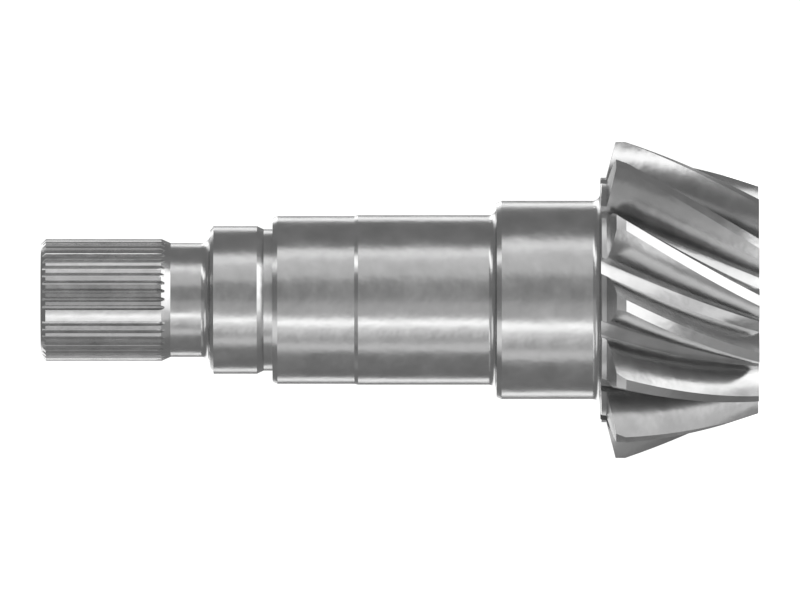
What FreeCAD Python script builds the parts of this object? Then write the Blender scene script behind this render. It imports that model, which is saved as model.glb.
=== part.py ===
import FreeCAD, Part
import math
import os

import Sketcher
from FreeCAD import Placement, Rotation, Vector

# Spiral bevel pinion on its shaft, turned and hobbed from one bar.
# Millimetres and degrees. The axis is +Z and the gear's small end face lies at z = 0.

# Driving sizes

SIZES = {
    # gear head, measured from the small end face
    "tooth_count": 12,
    "spiral_angle": 22.5,
    "pitch_cone_angle": 15.1,
    "face_cone_angle": 18.5,
    "root_cone_angle": 11.6,
    "toe_tip_dia": 74.4,
    "toe_root_dia": 54.8,
    "gear_dia": 103.6,
    "gear_rim_length": 3.165,
    "collar_dia": 80.2,
    "collar_length": 1.84,
    # tooth space, as angles about the axis
    "toe_space_angle": 14.6,
    "toe_land_half_angle": 2.7,
    "heel_land_half_angle": 2.0,
    "toe_root_half_angle": 3.85,
    "heel_root_half_angle": 3.45,
    "toe_root_lag": 3.2,
    "heel_root_lag": 1.5,
    "flank_curve_ratio": 0.55,
    # shaft, from the gear to the spline
    "inner_seat_dia": 65,
    "inner_seat_length": 34.0,
    "spacer_dia": 55.6,
    "spacer_length": 45.4,
    "spacer_step_length": 1.2,
    "outer_seat_dia": 55,
    "outer_seat_length": 26.8,
    "relief_dia": 46.4,
    "relief_length": 2.9,
    "relief_run_length": 2.2,
    "thread_dia": 48.4,
    "thread_length": 15.3,
    "neck_dia": 37.3,
    "neck_length": 13.0,
    "spline_dia": 40,
    "spline_cone_length": 3.0,
    "spline_length": 39.5,
    # spline grooves
    "groove_places": 46,
    "wide_tooth_angle": 255,
    "groove_floor_dia": 37.8,
    "groove_floor_width": 0.6,
    "groove_top_width": 1.64,
    "groove_run_start": 1.5,
    "groove_run_radius": 6.0,
    "groove_run_clearance": 0.1,
    # edges
    "seat_lead_length": 1.6,
    "seat_lead_depth": 0.7,
    "thread_lead_length": 1.05,
    "thread_lead_depth": 1.35,
    "end_chamfer": 1.65,
    "collar_edge": 0.3,
    # each fillet's radius as a share of the wall above it
    "seat_fillet_share": 0.342,
    "spacer_fillet_share": 0.65,
    "neck_fillet_share": 0.714,
    # centre holes
    "toe_pilot_dia": 6.3,
    "toe_mouth_dia": 13.2,
    "toe_bevel_dia": 18.0,
    "end_pilot_dia": 5.0,
    "end_mouth_dia": 10.6,
    "end_bevel_dia": 15.0,
    "pilot_length": 4.0,
    "centre_cone_angle": 60,
    "guard_bevel_angle": 120,
    "drill_point_angle": 118,
    # how far a cutter runs past the face that it cuts
    "cutter_overrun": 4.0,
    "cutter_reach": 0.5,
}

STATIONS = 6
SMALLEST_CUT = 0.5

doc = FreeCAD.newDocument("PinionShaft")
sheet = doc.addObject("Spreadsheet::Sheet", "Sizes")
for row, (alias, value) in enumerate(SIZES.items(), start=1):
    sheet.set(f"A{row}", alias)
    sheet.set(f"B{row}", str(value))
    sheet.setAlias(f"B{row}", alias)
doc.recompute()

body = doc.addObject("PartDesign::Body", "Pinion")
body.Label = "pinion_shaft"


# Heights along the axis, each from the last

RIM_START = "((Sizes.gear_dia - Sizes.toe_tip_dia) / 2 / tan(Sizes.face_cone_angle))"
RIM_END = f"({RIM_START} + Sizes.gear_rim_length)"
COLLAR_START = (
    f"({RIM_END} + (Sizes.gear_dia - Sizes.collar_dia) / 2 * tan(Sizes.pitch_cone_angle))"
)
HEAD = f"({COLLAR_START} + Sizes.collar_length)"
SEAT_END = f"({HEAD} + Sizes.inner_seat_length)"
SPACER_END = f"({SEAT_END} + Sizes.spacer_length)"
STEP_END = f"({SPACER_END} + Sizes.spacer_step_length)"
OUTER_END = f"({STEP_END} + Sizes.outer_seat_length)"
RELIEF_END = f"({OUTER_END} + Sizes.relief_length)"
THREAD_START = f"({RELIEF_END} + Sizes.relief_run_length)"
THREAD_END = f"({THREAD_START} + Sizes.thread_length)"
NECK_END = f"({THREAD_END} + Sizes.neck_length)"
SPLINE_START = f"({NECK_END} + Sizes.spline_cone_length)"
SHAFT_END = f"({SPLINE_START} + Sizes.spline_length)"


def worked_out(formula):
    """The formula's value as a plain number."""
    result = sheet.evalExpression(formula.replace("Sizes.", ""))
    return float(getattr(result, "Value", result))


def origin_plane(role):
    """The body's own origin plane or axis with this role."""
    return next(item for item in body.Origin.OriginFeatures if item.Role == role)


def new_sketch(name, plane):
    """An empty sketch on one of the body's origin planes."""
    sketch = body.newObject("Sketcher::SketchObject", name)
    sketch.AttachmentSupport = [(origin_plane(plane), "")]
    sketch.MapMode = "FlatFace"
    return sketch


def bind(sketch, constraint, formula):
    """Adds a constraint and ties its value to a formula of the sheet."""
    index = sketch.addConstraint(constraint)
    sketch.setExpression(f"Constraints[{index}]", formula)


def place_point(sketch, geometry, point, across, along):
    """Ties one point to two formulas, or to the sketch's upright axis where across is 0."""
    if across == "0":
        sketch.addConstraint(Sketcher.Constraint("PointOnObject", geometry, point, -2))
    else:
        rule = Sketcher.Constraint("DistanceX", -1, 1, geometry, point, worked_out(across))
        bind(sketch, rule, across)
    if along == "0":
        sketch.addConstraint(Sketcher.Constraint("PointOnObject", geometry, point, -1))
    else:
        rule = Sketcher.Constraint("DistanceY", -1, 1, geometry, point, worked_out(along))
        bind(sketch, rule, along)


def draw_polygon(sketch, corners):
    """A closed outline of straight lines whose corners are pairs of formulas."""
    points = [Vector(worked_out(across), worked_out(along), 0) for across, along in corners]
    count = len(corners)
    for index in range(count):
        sketch.addGeometry(Part.LineSegment(points[index], points[(index + 1) % count]), False)
    for index in range(count):
        joined = Sketcher.Constraint("Coincident", index, 2, (index + 1) % count, 1)
        sketch.addConstraint(joined)
    for index, (across, along) in enumerate(corners):
        place_point(sketch, index, 1, across, along)


def removes_metal(feature, before):
    """Stops the build where a cut has missed the solid."""
    doc.recompute()
    body.Tip = feature
    doc.recompute()
    if feature.Shape.Volume >= before - SMALLEST_CUT:
        raise RuntimeError(f"{feature.Name} cuts nothing")
    return feature.Shape.Volume


# Turned blank

blank_sketch = new_sketch("BlankOutline", "XZ_Plane")
draw_polygon(
    blank_sketch,
    [
        ("0", "0"),
        ("Sizes.toe_tip_dia / 2", "0"),
        ("Sizes.gear_dia / 2", RIM_START),
        ("Sizes.gear_dia / 2", RIM_END),
        ("Sizes.collar_dia / 2", COLLAR_START),
        ("Sizes.collar_dia / 2", HEAD),
        ("Sizes.inner_seat_dia / 2", HEAD),
        ("Sizes.inner_seat_dia / 2", f"{SEAT_END} - Sizes.seat_lead_length"),
        ("Sizes.inner_seat_dia / 2 - Sizes.seat_lead_depth", SEAT_END),
        ("Sizes.spacer_dia / 2", SEAT_END),
        ("Sizes.spacer_dia / 2", SPACER_END),
        ("Sizes.outer_seat_dia / 2", STEP_END),
        ("Sizes.outer_seat_dia / 2", f"{OUTER_END} - Sizes.seat_lead_length"),
        ("Sizes.outer_seat_dia / 2 - Sizes.seat_lead_depth", OUTER_END),
        ("Sizes.relief_dia / 2", OUTER_END),
        ("Sizes.relief_dia / 2", RELIEF_END),
        ("Sizes.thread_dia / 2", THREAD_START),
        ("Sizes.thread_dia / 2", f"{THREAD_END} - Sizes.thread_lead_length"),
        ("Sizes.thread_dia / 2 - Sizes.thread_lead_depth", THREAD_END),
        ("Sizes.neck_dia / 2", THREAD_END),
        ("Sizes.neck_dia / 2", NECK_END),
        ("Sizes.spline_dia / 2", SPLINE_START),
        ("Sizes.spline_dia / 2", f"{SHAFT_END} - Sizes.end_chamfer"),
        ("Sizes.spline_dia / 2 - Sizes.end_chamfer", SHAFT_END),
        ("0", SHAFT_END),
    ],
)
doc.recompute()

blank = body.newObject("PartDesign::Revolution", "Blank")
blank.Profile = blank_sketch
blank.ReferenceAxis = (blank_sketch, ["V_Axis"])
blank.Angle = 360
body.Tip = blank
doc.recompute()


def ring_edge(shape, radius_formula, height_formula):
    """Name of the circular edge of this radius at this height."""
    radius = worked_out(radius_formula)
    height = worked_out(height_formula)
    for number, edge in enumerate(shape.Edges, start=1):
        if not isinstance(edge.Curve, Part.Circle):
            continue
        if abs(edge.Curve.Radius - radius) < 0.001 and abs(edge.Curve.Center.z - height) < 0.001:
            return f"Edge{number}"
    raise RuntimeError(f"no edge of radius {radius} at height {height}")


def edge_feature(kind, name, base, radius, height, size_name, formula):
    """A fillet or chamfer along one ring edge of the feature before it."""
    feature = body.newObject(f"PartDesign::{kind}", name)
    feature.Base = (base, [ring_edge(base.Shape, radius, height)])
    feature.setExpression(size_name, formula)
    body.Tip = feature
    doc.recompute()
    return feature


collar_edge = edge_feature(
    "Chamfer", "CollarEdge", blank,
    "Sizes.collar_dia / 2", HEAD,
    "Size", "Sizes.collar_edge",
)
SEAT_WALL = "(Sizes.collar_dia / 2 - Sizes.inner_seat_dia / 2)"
SPACER_WALL = "(Sizes.inner_seat_dia / 2 - Sizes.seat_lead_depth - Sizes.spacer_dia / 2)"
NECK_WALL = "(Sizes.thread_dia / 2 - Sizes.thread_lead_depth - Sizes.neck_dia / 2)"
seat_fillet = edge_feature(
    "Fillet", "SeatFillet", collar_edge,
    "Sizes.inner_seat_dia / 2", HEAD,
    "Radius", f"Sizes.seat_fillet_share * {SEAT_WALL}",
)
spacer_fillet = edge_feature(
    "Fillet", "SpacerFillet", seat_fillet,
    "Sizes.spacer_dia / 2", SEAT_END,
    "Radius", f"Sizes.spacer_fillet_share * {SPACER_WALL}",
)
neck_fillet = edge_feature(
    "Fillet", "NeckFillet", spacer_fillet,
    "Sizes.neck_dia / 2", THREAD_END,
    "Radius", f"Sizes.neck_fillet_share * {NECK_WALL}",
)
volume = neck_fillet.Shape.Volume


# Centre holes in both end faces

def centre_hole(name, face, inward, pilot, mouth, bevel):
    """A drilled centre with its bearing cone and a flat guard bevel."""
    bevel_depth = f"(({bevel} - {mouth}) / 2 / tan(Sizes.guard_bevel_angle / 2))"
    cone_depth = f"({bevel_depth} + ({mouth} - {pilot}) / 2 / tan(Sizes.centre_cone_angle / 2))"
    pilot_depth = f"({cone_depth} + Sizes.pilot_length)"
    point_depth = f"({pilot_depth} + {pilot} / 2 / tan(Sizes.drill_point_angle / 2))"
    sketch = new_sketch(f"{name}Outline", "XZ_Plane")
    draw_polygon(
        sketch,
        [
            ("0", face),
            (f"{bevel} / 2", face),
            (f"{mouth} / 2", f"{face} + {inward} * {bevel_depth}"),
            (f"{pilot} / 2", f"{face} + {inward} * {cone_depth}"),
            (f"{pilot} / 2", f"{face} + {inward} * {pilot_depth}"),
            ("0", f"{face} + {inward} * {point_depth}"),
        ],
    )
    doc.recompute()
    hole = body.newObject("PartDesign::Groove", name)
    hole.Profile = sketch
    hole.ReferenceAxis = (sketch, ["V_Axis"])
    hole.Angle = 360
    return hole


toe_centre = centre_hole(
    "ToeCentre", "0", "1",
    "Sizes.toe_pilot_dia", "Sizes.toe_mouth_dia", "Sizes.toe_bevel_dia",
)
volume = removes_metal(toe_centre, volume)
end_centre = centre_hole(
    "EndCentre", SHAFT_END, "-1",
    "Sizes.end_pilot_dia", "Sizes.end_mouth_dia", "Sizes.end_bevel_dia",
)
volume = removes_metal(end_centre, volume)


def ring_pattern(name, original, count, step):
    """Copies of a cut about the shaft's axis, as many as count and step apart."""
    pattern = body.newObject("PartDesign::PolarPattern", name)
    pattern.Originals = [original]
    pattern.Axis = (origin_plane("Z_Axis"), [""])
    pattern.Mode = "Spacing"
    pattern.setExpression("Offset", step)
    pattern.setExpression("Occurrences", count)
    pattern.Refine = False
    return pattern


# Spline grooves: one straight cut with a curved run-out, repeated with one place left solid

FIRST_GROOVE = "(Sizes.wide_tooth_angle + 360 / Sizes.groove_places)"
GROOVE_TOP = f"({SHAFT_END} + Sizes.cutter_overrun)"
RUN_START = f"({SPLINE_START} + Sizes.groove_run_start)"
RUN_CLEAR = "(Sizes.spline_dia / 2 + Sizes.groove_run_clearance)"

path = new_sketch("GroovePath", "XZ_Plane")
path.AttachmentOffset = Placement(Vector(0, 0, 0), Rotation(Vector(0, 1, 0), 1))
path.setExpression("AttachmentOffset.Rotation.Angle", FIRST_GROOVE)
floor_radius = worked_out("Sizes.groove_floor_dia / 2")
run_radius = worked_out("Sizes.groove_run_radius")
run_start = worked_out(RUN_START)
run_centre = Vector(floor_radius + run_radius, run_start, 0)
run_angle = math.acos(1 - (worked_out(RUN_CLEAR) - floor_radius) / run_radius)
straight = path.addGeometry(
    Part.LineSegment(
        Vector(floor_radius, worked_out(GROOVE_TOP), 0), Vector(floor_radius, run_start, 0)
    ),
    False,
)
run_out = path.addGeometry(
    Part.ArcOfCircle(
        Part.Circle(run_centre, Vector(0, 0, 1), run_radius), math.pi, math.pi + run_angle
    ),
    False,
)
path.addConstraint(Sketcher.Constraint("Tangent", straight, 2, run_out, 1))
place_point(path, straight, 1, "Sizes.groove_floor_dia / 2", GROOVE_TOP)
place_point(path, straight, 2, "Sizes.groove_floor_dia / 2", RUN_START)
bind(path, Sketcher.Constraint("Radius", run_out, run_radius), "Sizes.groove_run_radius")
bind(
    path,
    Sketcher.Constraint("DistanceX", -1, 1, run_out, 2, worked_out(RUN_CLEAR)),
    RUN_CLEAR,
)

groove_section = new_sketch("GrooveSection", "XY_Plane")
groove_section.AttachmentOffset = Placement(Vector(0, 0, 0), Rotation(Vector(0, 0, 1), 1))
groove_section.setExpression("AttachmentOffset.Base.z", GROOVE_TOP)
groove_section.setExpression("AttachmentOffset.Rotation.Angle", FIRST_GROOVE)
GROOVE_SLOPE = (
    "((Sizes.groove_top_width - Sizes.groove_floor_width)"
    " / (Sizes.spline_dia - Sizes.groove_floor_dia))"
)
groove_outer = "(Sizes.spline_dia / 2 + Sizes.cutter_reach)"
groove_half = f"(Sizes.groove_top_width / 2 + Sizes.cutter_reach * {GROOVE_SLOPE})"
draw_polygon(
    groove_section,
    [
        ("Sizes.groove_floor_dia / 2", "-Sizes.groove_floor_width / 2"),
        (groove_outer, f"-{groove_half}"),
        (groove_outer, groove_half),
        ("Sizes.groove_floor_dia / 2", "Sizes.groove_floor_width / 2"),
    ],
)
doc.recompute()

groove = body.newObject("PartDesign::SubtractivePipe", "SplineGroove")
groove.Profile = groove_section
groove.Spine = (path, [""])
volume = removes_metal(groove, volume)

grooves = ring_pattern(
    "SplineGrooves", groove, "Sizes.groove_places - 1", "360 / Sizes.groove_places"
)
volume = removes_metal(grooves, volume)


# Tooth spaces: sections square to the axis, turned along the spiral of the pitch cone

TOE_PITCH_RADIUS = "((Sizes.toe_tip_dia + Sizes.toe_root_dia) / 4)"


def circle_crossing(first, first_radius, second, second_radius, upper):
    """The upper or lower of the points where two circles cross."""
    reach = second - first
    gap = reach.Length
    along = (gap ** 2 + first_radius ** 2 - second_radius ** 2) / (2 * gap)
    aside = math.sqrt(first_radius ** 2 - along ** 2)
    unit = reach / gap
    normal = Vector(-unit.y, unit.x, 0)
    crossings = [first + unit * along + normal * aside, first + unit * along - normal * aside]
    crossings.sort(key=lambda point: point.y)
    return crossings[1] if upper else crossings[0]


def arc_between(centre, radius, start, end):
    """The arc about centre that runs anticlockwise from start to end."""
    circle = Part.Circle(centre, Vector(0, 0, 1), radius)
    first = math.atan2(start.y - centre.y, start.x - centre.x)
    last = math.atan2(end.y - centre.y, end.x - centre.x)
    if last < first:
        last += 2 * math.pi
    return Part.ArcOfCircle(circle, first, last)


def space_section(number):
    """Sketch of one tooth space at one height, its middle at the tips on the sketch's X axis."""
    share = f"{number} / {STATIONS - 1}"
    height = f"(({HEAD} + 2 * Sizes.cutter_overrun) * {share} - Sizes.cutter_overrun)"
    along = f"({height} / {RIM_END})"
    tip = f"(Sizes.toe_tip_dia / 2 + {height} * tan(Sizes.face_cone_angle))"
    root = f"(Sizes.toe_root_dia / 2 + {height} * tan(Sizes.root_cone_angle))"
    pitch = f"({TOE_PITCH_RADIUS} + {height} * tan(Sizes.pitch_cone_angle))"
    turn = (
        "(Sizes.toe_space_angle + 180 / pi * tan(Sizes.spiral_angle)"
        f" / sin(Sizes.pitch_cone_angle) * log({pitch} / {TOE_PITCH_RADIUS}))"
    )
    land = (
        "(Sizes.toe_land_half_angle"
        f" + (Sizes.heel_land_half_angle - Sizes.toe_land_half_angle) * {along})"
    )
    floor = (
        "(Sizes.toe_root_half_angle"
        f" + (Sizes.heel_root_half_angle - Sizes.toe_root_half_angle) * {along})"
    )
    lag = f"(Sizes.toe_root_lag + (Sizes.heel_root_lag - Sizes.toe_root_lag) * {along} ^ 2)"
    opening = f"(180 / Sizes.tooth_count - {land})"
    curve = f"(Sizes.flank_curve_ratio * {pitch})"
    outer = f"({tip} + Sizes.cutter_reach)"

    sketch = new_sketch(f"SpaceSection{number}", "XY_Plane")
    sketch.AttachmentOffset = Placement(Vector(0, 0, 0), Rotation(Vector(0, 0, 1), 1))
    sketch.setExpression("AttachmentOffset.Base.z", height)
    sketch.setExpression("AttachmentOffset.Rotation.Angle", turn)

    origin = Vector(0, 0, 0)
    root_radius = worked_out(root)
    outer_radius = worked_out(outer)
    curve_radius = worked_out(curve)

    # each side: the flank's circle runs through its root corner and its tip corner
    sides = {}
    for side, sign in (("lower", -1), ("upper", 1)):
        tip_angle = f"({sign} * {opening})"
        root_angle = f"({sign} * {floor} - {lag})"
        tip_point = (f"{tip} * cos({tip_angle})", f"{tip} * sin({tip_angle})")
        root_point = (f"{root} * cos({root_angle})", f"{root} * sin({root_angle})")
        tip_corner = Vector(worked_out(tip_point[0]), worked_out(tip_point[1]), 0)
        root_corner = Vector(worked_out(root_point[0]), worked_out(root_point[1]), 0)
        upper = side == "upper"
        flank_centre = circle_crossing(
            tip_corner, curve_radius, root_corner, curve_radius, upper
        )
        sides[side] = {
            "tip": (tip_corner, tip_point),
            "root": (root_corner, root_point),
            "flank": flank_centre,
            "outer": circle_crossing(origin, outer_radius, flank_centre, curve_radius, not upper),
        }
    lower, upper = sides["lower"], sides["upper"]

    floor_arc, low_flank, mouth, high_flank = sketch.addGeometry(
        [
            arc_between(origin, root_radius, lower["root"][0], upper["root"][0]),
            arc_between(lower["flank"], curve_radius, lower["outer"], lower["root"][0]),
            arc_between(origin, outer_radius, lower["outer"], upper["outer"]),
            arc_between(upper["flank"], curve_radius, upper["root"][0], upper["outer"]),
        ],
        False,
    )
    start, end, centre = 1, 2, 3
    for rule in (
        ("Coincident", mouth, centre, -1, 1),
        ("Coincident", floor_arc, start, low_flank, end),
        ("Coincident", low_flank, start, mouth, start),
        ("Coincident", mouth, end, high_flank, end),
        ("Coincident", high_flank, start, floor_arc, end),
        ("Equal", low_flank, high_flank),
    ):
        sketch.addConstraint(Sketcher.Constraint(*rule))
    bind(sketch, Sketcher.Constraint("Radius", floor_arc, root_radius), root)
    bind(sketch, Sketcher.Constraint("Radius", mouth, outer_radius), outer)
    bind(sketch, Sketcher.Constraint("Radius", low_flank, curve_radius), curve)
    for side, flank, root_end in ((lower, low_flank, end), (upper, high_flank, start)):
        place_point(sketch, flank, root_end, *side["root"][1])
        tip_corner, formulas = side["tip"]
        point = sketch.addGeometry(Part.Point(tip_corner), True)
        place_point(sketch, point, 1, *formulas)
        sketch.addConstraint(Sketcher.Constraint("PointOnObject", point, 1, flank))
    return sketch


sections = [space_section(number) for number in range(STATIONS)]
doc.recompute()

tooth_space = body.newObject("PartDesign::SubtractiveLoft", "ToothSpace")
tooth_space.Profile = sections[0]
tooth_space.Sections = sections[1:]
tooth_space.Ruled = False
tooth_space.Refine = False
volume = removes_metal(tooth_space, volume)


tooth_spaces = ring_pattern(
    "ToothSpaces", tooth_space, "Sizes.tooth_count", "360 / Sizes.tooth_count"
)
volume = removes_metal(tooth_spaces, volume)


# Every object is sound before anything is written

for item in doc.Objects:
    if "Invalid" in item.State or "Error" in item.State:
        raise RuntimeError(f"{item.Name}: {item.State}")
shape = body.Shape
if shape.isNull() or not shape.isValid() or len(shape.Solids) != 1:
    raise RuntimeError(f"{body.Label} is not one sound solid")

os.makedirs("parts", exist_ok=True)
shape.exportStep(f"parts/{body.Label}.step")
box = shape.BoundBox
print(f"{body.Label}: {shape.Volume / 1000:.1f} cm3, {len(shape.Faces)} faces")
print(f"x {box.XMin:.2f} {box.XMax:.2f}, y {box.YMin:.2f} {box.YMax:.2f}, z {box.ZMin:.2f} {box.ZMax:.2f}")
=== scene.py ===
import math

import bpy
from mathutils import Matrix, Vector

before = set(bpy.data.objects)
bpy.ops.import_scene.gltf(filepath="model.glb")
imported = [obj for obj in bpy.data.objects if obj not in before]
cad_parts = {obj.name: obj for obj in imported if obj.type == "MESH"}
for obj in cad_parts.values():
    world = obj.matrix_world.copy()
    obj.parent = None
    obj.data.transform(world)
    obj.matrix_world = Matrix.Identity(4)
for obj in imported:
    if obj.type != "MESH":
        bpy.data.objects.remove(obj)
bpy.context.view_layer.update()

# Photograph: a side view from far away, the shaft lying along the picture's width

PHOTO_WIDTH_PX = 800
SENSOR_MM = 36.0
MM_PER_PX = 0.3278
CAMERA_DISTANCE_PX = 27000
TOE_FACE_PX = 758.3
METRES_PER_PX = MM_PER_PX / 1000

# Azimuth is measured about the shaft from the camera, positive towards the picture's top (+X).
# Height is the angle above the plane through the camera square to the shaft; the gear's end is below.
# A softbox may lean by so many degrees of azimuth for each degree of height.

SOFTBOXES = {
    "window right": {"azimuth": 47, "half_width": 22, "bottom": -52, "top": -14, "power": 1.7},
    "window foot": {"azimuth": 54, "half_width": 14, "bottom": -85, "top": -52, "power": 1.6},
    "window side": {"azimuth": 68, "half_width": 9, "bottom": -51, "top": -42, "power": 1.4},
    "window side glow": {"azimuth": 82, "half_width": 9, "bottom": -54, "top": -38, "power": 0.35},
    "window middle": {"azimuth": 18, "half_width": 9, "bottom": -52, "top": -14, "power": 1.6},
    "window left": {"azimuth": -5, "half_width": 17, "bottom": -52, "top": -28, "power": 1.6},
    "window left pane": {"azimuth": -20, "half_width": 6, "bottom": -28, "top": -14, "power": 1.4},
    "window shade": {"azimuth": -2, "half_width": 12, "bottom": -28, "top": -14, "power": 0.65},
    "window corner": {"azimuth": -34, "half_width": 13, "bottom": -52, "top": -43, "power": 0.85},
    "floor bounce": {"azimuth": -8, "half_width": 44, "bottom": -85, "top": -52, "power": 0.5},
    "low left fill": {"azimuth": -62, "half_width": 26, "bottom": -62, "top": -15, "power": 0.16},
    "key strip": {"azimuth": -31, "half_width": 4, "bottom": -8, "top": 3, "power": 2.1},
    "key glow": {"azimuth": -38, "half_width": 12, "bottom": 0, "top": 15, "lean": -1.1, "power": 0.85},
    "low strip": {"azimuth": -68, "half_width": 7, "bottom": -8, "top": 3, "power": 0.9},
    "left fill": {"azimuth": -66, "half_width": 44, "bottom": 4, "top": 17, "power": 0.22},
    "left glow": {"azimuth": -54, "half_width": 10, "bottom": 11, "top": 18, "power": 0.55},
    "left panel": {"azimuth": -52, "half_width": 22, "bottom": 35, "top": 60, "power": 0.95},
    "front fill": {"azimuth": -22, "half_width": 20, "bottom": -12, "top": 44, "power": 0.24},
    "horizon": {"azimuth": 0, "half_width": 60, "bottom": -10, "top": 1, "power": 0.16},
    "high strip": {"azimuth": 72, "half_width": 9, "bottom": 5, "top": 36, "lean": -0.65, "power": 2.0},
    "high strip top": {"azimuth": 61, "half_width": 9, "bottom": 36, "top": 50, "power": 1.5},
    "high strip foot": {"azimuth": 68, "half_width": 7, "bottom": -8, "top": 4, "power": 0.95},
    "high panel": {"azimuth": 45, "half_width": 16, "bottom": -10, "top": 10, "power": 0.42},
    "rear panel above": {"azimuth": 157, "half_width": 11, "bottom": 3, "top": 28, "power": 1.8},
    "rear strip above": {"azimuth": 147, "half_width": 8, "bottom": -8, "top": 3, "power": 1.35},
    "rear panel below": {"azimuth": -176, "half_width": 7, "bottom": 5, "top": 36, "lean": 0.9, "power": 1.4},
    "rear strip below": {"azimuth": -143, "half_width": 7, "bottom": -8, "top": 3, "power": 1.45},
    "white backdrop": {"azimuth": -176, "half_width": 5, "bottom": -10, "top": 12, "power": 0.8},
    "backdrop head": {"azimuth": -178, "half_width": 7, "bottom": 12, "top": 18, "power": 1.1},
}
ROOM_STRENGTH = 0.22
EDGE_SOFTNESS_DEG = 4.0
BACKDROP_STRENGTH = 1.1

# Floor, in metres: a hair below the gear's flat end, so that the two never share a plane

FLOOR_RADIUS = 0.9
FLOOR_SIDES = 128
FLOOR_GAP = 0.0002
FLOOR_GREY = 0.9
FLOOR_ROUGHNESS = 0.9

# Steel: the lumps of its clouding and the width and height of its waviness, all in metres,
# then the roughness and the grey that the clouding runs between

CLOUD_SIZE = 0.008
CLOUD_DETAIL = 4
WAVE_SIZE = 0.006
WAVE_DETAIL = 2
WAVE_HEIGHT = 0.0001
ROUGHNESS_RANGE = (0.2, 0.26)
GREY_RANGE = (0.54, 0.62)
NOISE_MIDDLE = (0.3, 0.7)

# Painted shade in the tooth spaces, darkening the steel's colour: how far the darkening looks for a facing
# wall, the share of colour kept in the deepest corner, and where on the shaft it ends, all but the share in
# metres

PAINTED_SHADE_REACH = 0.02
PAINTED_SHADE_SHARE = 0.6
PAINTED_SHADE_START = 0.048
PAINTED_SHADE_END = 0.052
PAINTED_SHADE_SAMPLES = 12


def node(tree, kind, **settings):
    """A new node with some of its properties set."""
    made = tree.nodes.new(kind)
    for key, value in settings.items():
        setattr(made, key, value)
    return made


def math_node(tree, operation, *values):
    """A maths node fed by sockets or plain numbers; returns its result."""
    made = node(tree, "ShaderNodeMath", operation=operation)
    for socket, value in zip(made.inputs, values):
        if isinstance(value, (int, float)):
            socket.default_value = value
        else:
            tree.links.new(value, socket)
    return made.outputs[0]


def ramp_between(tree, value, start, end):
    """Rises smoothly from 0 to 1 as value goes from start to end."""
    made = node(tree, "ShaderNodeMapRange", interpolation_type="SMOOTHSTEP")
    tree.links.new(value, made.inputs["Value"])
    made.inputs["From Min"].default_value = start
    made.inputs["From Max"].default_value = end
    return made.outputs["Result"]


def softbox_light(tree, azimuth, height, box):
    """A softbox's power inside its outline and 0 outside, with a soft edge."""
    soft = math.radians(EDGE_SOFTNESS_DEG)
    bottom, top = math.radians(box["bottom"]), math.radians(box["top"])
    middle = math_node(tree, "MULTIPLY_ADD", height, box.get("lean", 0), math.radians(box["azimuth"]))
    offset = math_node(tree, "SUBTRACT", azimuth, middle)
    offset = math_node(tree, "WRAP", offset, math.pi, -math.pi)
    offset = math_node(tree, "ABSOLUTE", offset)
    half = math.radians(box["half_width"])
    across = ramp_between(tree, offset, half + soft, max(half - soft, 0))
    above = ramp_between(tree, height, bottom - soft, bottom + soft)
    below = ramp_between(tree, height, top + soft, top - soft)
    mask = math_node(tree, "MULTIPLY", across, above)
    mask = math_node(tree, "MULTIPLY", mask, below)
    return math_node(tree, "MULTIPLY", mask, box["power"])


def studio_world():
    """Softboxes round the shaft for its reflections, with a white studio behind them."""
    world = bpy.data.worlds.new("studio")
    bpy.context.scene.world = world
    world.use_nodes = True
    tree = world.node_tree
    tree.nodes.clear()
    direction = node(tree, "ShaderNodeTexCoord").outputs["Generated"]
    axes = node(tree, "ShaderNodeSeparateXYZ")
    tree.links.new(direction, axes.inputs[0])
    toward_camera = math_node(tree, "MULTIPLY", axes.outputs["Y"], -1)
    azimuth = math_node(tree, "ARCTAN2", axes.outputs["X"], toward_camera)
    height = math_node(tree, "ARCSINE", axes.outputs["Z"])
    total = ROOM_STRENGTH
    for box in SOFTBOXES.values():
        total = math_node(tree, "ADD", softbox_light(tree, azimuth, height, box), total)
    lights = node(tree, "ShaderNodeBackground")
    lights.inputs["Color"].default_value = (1, 1, 1, 1)
    tree.links.new(total, lights.inputs["Strength"])
    seen = node(tree, "ShaderNodeBackground")
    seen.inputs["Color"].default_value = (1, 1, 1, 1)
    seen.inputs["Strength"].default_value = BACKDROP_STRENGTH
    choice = node(tree, "ShaderNodeMixShader")
    tree.links.new(node(tree, "ShaderNodeLightPath").outputs["Is Camera Ray"], choice.inputs[0])
    tree.links.new(lights.outputs[0], choice.inputs[1])
    tree.links.new(seen.outputs[0], choice.inputs[2])
    output = node(tree, "ShaderNodeOutputWorld")
    tree.links.new(choice.outputs[0], output.inputs["Surface"])


def pale_floor():
    """A plain pale floor, bright enough to run into the white backdrop."""
    bpy.ops.mesh.primitive_circle_add(vertices=FLOOR_SIDES, radius=FLOOR_RADIUS, fill_type="NGON")
    floor = bpy.context.object
    floor.name = "floor"
    floor.location.z = -FLOOR_GAP
    material = bpy.data.materials.new("pale_floor")
    material.use_nodes = True
    shader = material.node_tree.nodes["Principled BSDF"]
    shader.inputs["Base Color"].default_value = (FLOOR_GREY, FLOOR_GREY, FLOOR_GREY, 1)
    shader.inputs["Roughness"].default_value = FLOOR_ROUGHNESS
    shader.inputs["Emission Color"].default_value = (1, 1, 1, 1)
    shader.inputs["Emission Strength"].default_value = BACKDROP_STRENGTH
    floor.data.materials.append(material)
    floor.visible_glossy = False
    floor.visible_shadow = False
    floor.visible_diffuse = False


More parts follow.
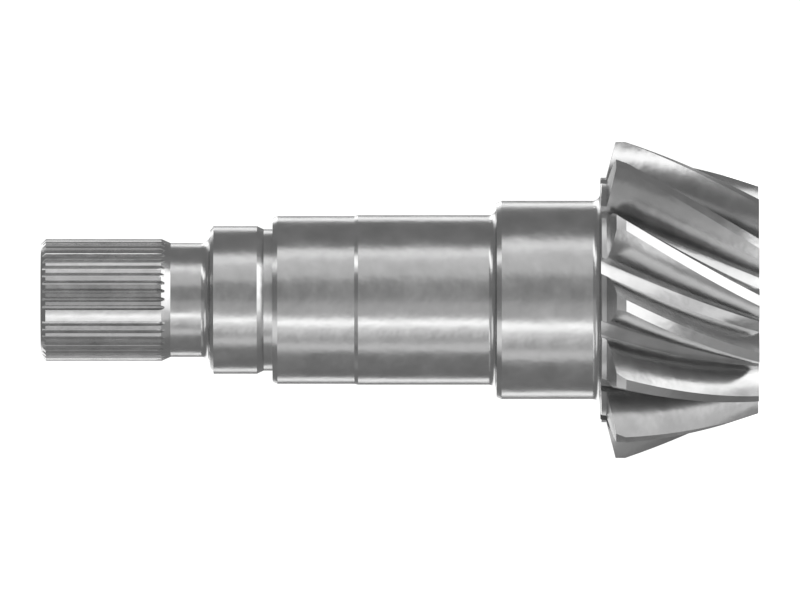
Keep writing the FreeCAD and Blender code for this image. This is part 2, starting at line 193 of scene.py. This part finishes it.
def photo_camera():
    """The photograph's view: level with the shaft's middle and turned so that the gear is at the right."""
    data = bpy.data.cameras.new("camera")
    camera = bpy.data.objects.new("camera", data)
    bpy.context.scene.collection.objects.link(camera)
    data.sensor_width = SENSOR_MM
    data.lens = SENSOR_MM * CAMERA_DISTANCE_PX / PHOTO_WIDTH_PX
    middle = (TOE_FACE_PX - PHOTO_WIDTH_PX / 2) * METRES_PER_PX
    distance = CAMERA_DISTANCE_PX * METRES_PER_PX
    picture_right, picture_up, backward = Vector((0, 0, -1)), Vector((1, 0, 0)), Vector((0, -1, 0))
    turn = Matrix((picture_right, picture_up, backward)).transposed().to_4x4()
    camera.matrix_world = Matrix.Translation((0, -distance, middle)) @ turn
    data.clip_end = 100
    bpy.context.scene.camera = camera


def noise(tree, place, size, detail):
    """Soft noise whose lumps are about size across, in metres."""
    made = node(tree, "ShaderNodeTexNoise")
    tree.links.new(place, made.inputs["Vector"])
    made.inputs["Scale"].default_value = 1 / size
    made.inputs["Detail"].default_value = detail
    return made.outputs["Fac"]


def remapped(tree, value, low, high):
    """The middle of a noise's range stretched to run from low to high."""
    made = node(tree, "ShaderNodeMapRange")
    tree.links.new(value, made.inputs["Value"])
    made.inputs["From Min"].default_value = NOISE_MIDDLE[0]
    made.inputs["From Max"].default_value = NOISE_MIDDLE[1]
    made.inputs["To Min"].default_value = low
    made.inputs["To Max"].default_value = high
    return made.outputs["Result"]


def machined_steel():
    """Satin ground steel with faint clouding and slight waviness, and painted shade that darkens its colour
    deep in the tooth spaces.
    """
    material = bpy.data.materials.new("machined_steel")
    material.use_nodes = True
    tree = material.node_tree
    shader = tree.nodes["Principled BSDF"]
    shader.inputs["Metallic"].default_value = 1.0
    place = node(tree, "ShaderNodeTexCoord").outputs["Object"]
    clouds = noise(tree, place, CLOUD_SIZE, CLOUD_DETAIL)
    tree.links.new(remapped(tree, clouds, *ROUGHNESS_RANGE), shader.inputs["Roughness"])
    grey = remapped(tree, clouds, *GREY_RANGE)
    # Painted shade: ambient occlusion darkens the base colour in the gear's tooth spaces, fading out above
    # the gear.
    painted_shade_ao = node(tree, "ShaderNodeAmbientOcclusion")
    painted_shade_ao.samples = PAINTED_SHADE_SAMPLES
    painted_shade_ao.only_local = True
    painted_shade_ao.inputs["Distance"].default_value = PAINTED_SHADE_REACH
    painted_shade_factor = math_node(tree, "MULTIPLY_ADD", painted_shade_ao.outputs["AO"], 1 - PAINTED_SHADE_SHARE, PAINTED_SHADE_SHARE)
    place_z = node(tree, "ShaderNodeSeparateXYZ")
    tree.links.new(place, place_z.inputs["Vector"])
    painted_shade_on_gear = ramp_between(tree, place_z.outputs["Z"], PAINTED_SHADE_END, PAINTED_SHADE_START)
    painted_shade_factor = math_node(tree, "MULTIPLY_ADD", painted_shade_on_gear, math_node(tree, "SUBTRACT", painted_shade_factor, 1), 1)
    tree.links.new(math_node(tree, "MULTIPLY", grey, painted_shade_factor), shader.inputs["Base Color"])
    waves = node(tree, "ShaderNodeBump")
    waves.inputs["Strength"].default_value = 1.0
    waves.inputs["Distance"].default_value = WAVE_HEIGHT
    tree.links.new(noise(tree, place, WAVE_SIZE, WAVE_DETAIL), waves.inputs["Height"])
    tree.links.new(waves.outputs["Normal"], shader.inputs["Normal"])
    return material


studio_world()
pale_floor()
photo_camera()
bpy.context.scene.view_settings.view_transform = "Standard"

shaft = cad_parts["pinion_shaft"]
steel = machined_steel()
for slot in shaft.material_slots:
    slot.material = steel
